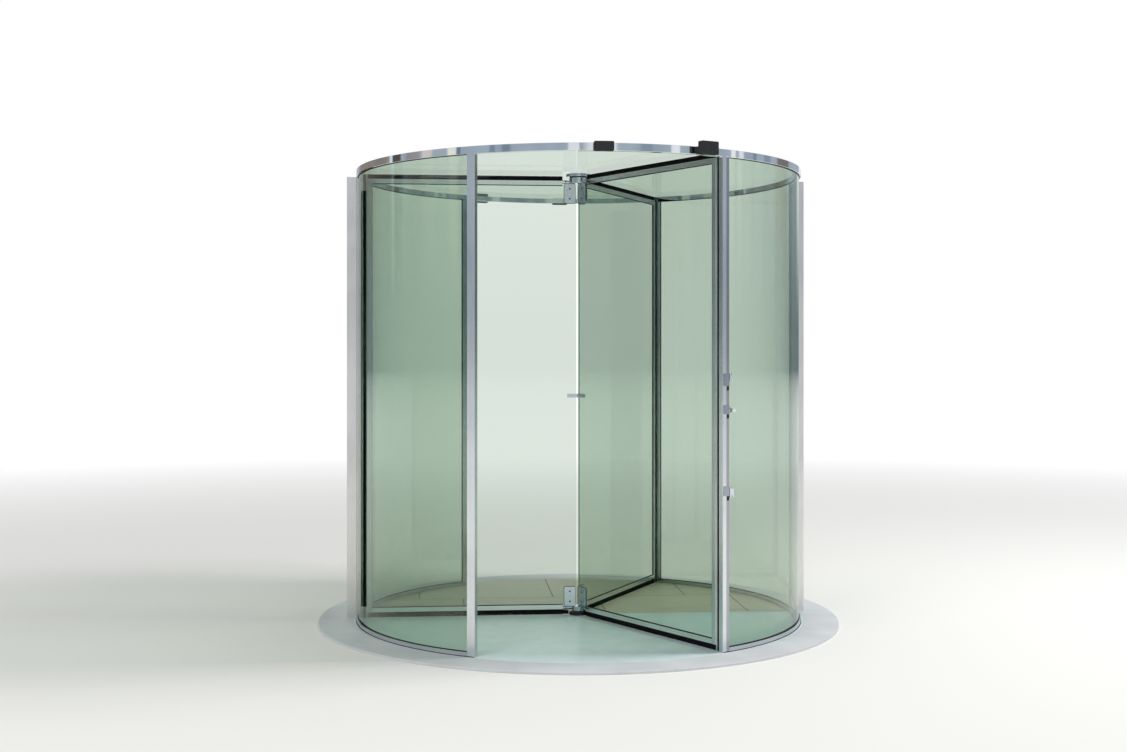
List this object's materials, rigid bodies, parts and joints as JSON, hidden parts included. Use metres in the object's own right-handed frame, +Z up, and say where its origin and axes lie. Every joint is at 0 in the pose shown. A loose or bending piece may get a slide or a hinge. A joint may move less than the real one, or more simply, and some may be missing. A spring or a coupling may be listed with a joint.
{
  "type": "revolving door",
  "caption": "All-glass revolving door with flat wings between two curved glass walls, a slim metal canopy ring, a glass ceiling and a round floor.",
  "frame": {"origin": "centre of the underside of the floor, on the turning axis", "axes": "+Z up along the turning axis, -Y out of the front entrance, +X to the right seen from the front"},
  "size_m": [3.3818, 3.3818, 2.944],
  "materials": {
    "floor_resin": "smooth, pale green",
    "floor_coating": "matt pale grey coating",
    "dark_metal": "dark, smooth",
    "post_metal": "satin",
    "channel_metal": "satin",
    "connection_metal": "satin",
    "wall_glass": "clear with a green tint",
    "wing_glass": "clear with a slight green tint",
    "ceiling_glass": "clear with a slight green tint",
    "gasket_rubber": "matte",
    "ring_metal": "mirror polished",
    "hub_metal": "polished",
    "clamp_metal": "fine satin",
    "rail_metal": "satin",
    "stile_metal": "satin",
    "seal_brush": "brush strip",
    "sensor_plastic": "black, fine grain",
    "bracket_plastic": "black, fine grain",
    "lock_metal": "satin",
    "knob_chrome": "bright"
  },
  "bodies": {
    "drum": {"floor_disc": "floor_resin", "floor_ring": "floor_coating", "floor_bearing": "dark_metal", "front_post_left": "post_metal", "front_post_right": "post_metal", "rear_post_left": "post_metal", "rear_post_right": "post_metal", "base_channel_left": "channel_metal", "base_channel_right": "channel_metal", "connection_post_left": "connection_metal", "connection_post_right": "connection_metal", "wall_glass_front_left": "wall_glass", "wall_glass_front_right": "wall_glass", "wall_glass_rear_left": "wall_glass", "wall_glass_rear_right": "wall_glass", "wall_gaskets": "gasket_rubber", "canopy_ring_left": "ring_metal", "canopy_ring_right": "ring_metal", "ceiling_glass": "ceiling_glass", "ceiling_bearing": "hub_metal", "sensor_front_centre": "sensor_plastic", "sensor_front_right": "sensor_plastic", "sensor_rear_centre": "sensor_plastic", "sensor_rear_left": "sensor_plastic", "sensor_brackets": "bracket_plastic", "lock_plates": "lock_metal"},
    "rotor": {"wing_1_glass": "wing_glass", "wing_1_rails": "rail_metal", "wing_1_stile": "stile_metal", "wing_1_seals": "seal_brush", "wing_2_glass": "wing_glass", "wing_2_rails": "rail_metal", "wing_2_stile": "stile_metal", "wing_2_seals": "seal_brush", "wing_3_glass": "wing_glass", "wing_3_rails": "rail_metal", "wing_3_stile": "stile_metal", "wing_3_seals": "seal_brush", "upper_hub": "hub_metal", "lower_hub": "hub_metal", "upper_clamps": "clamp_metal", "lower_clamps": "clamp_metal", "mid_connector": "clamp_metal"},
    "knob": {"lock_knob": "knob_chrome"}
  },
  "joints": [
    {"name": "rotor_turn", "type": "hinge", "parent": "drum", "child": "rotor", "pos_m": [0, 0, 0.015], "axis": [0, 0, 1], "continuous": true},
    {"name": "lock_knob_turn", "type": "hinge", "parent": "drum", "child": "knob", "pos_m": [0.7707, -1.22822, 1.411], "axis": [0.5315, -0.847, 0], "range_deg": [0, 90]}
  ]
}
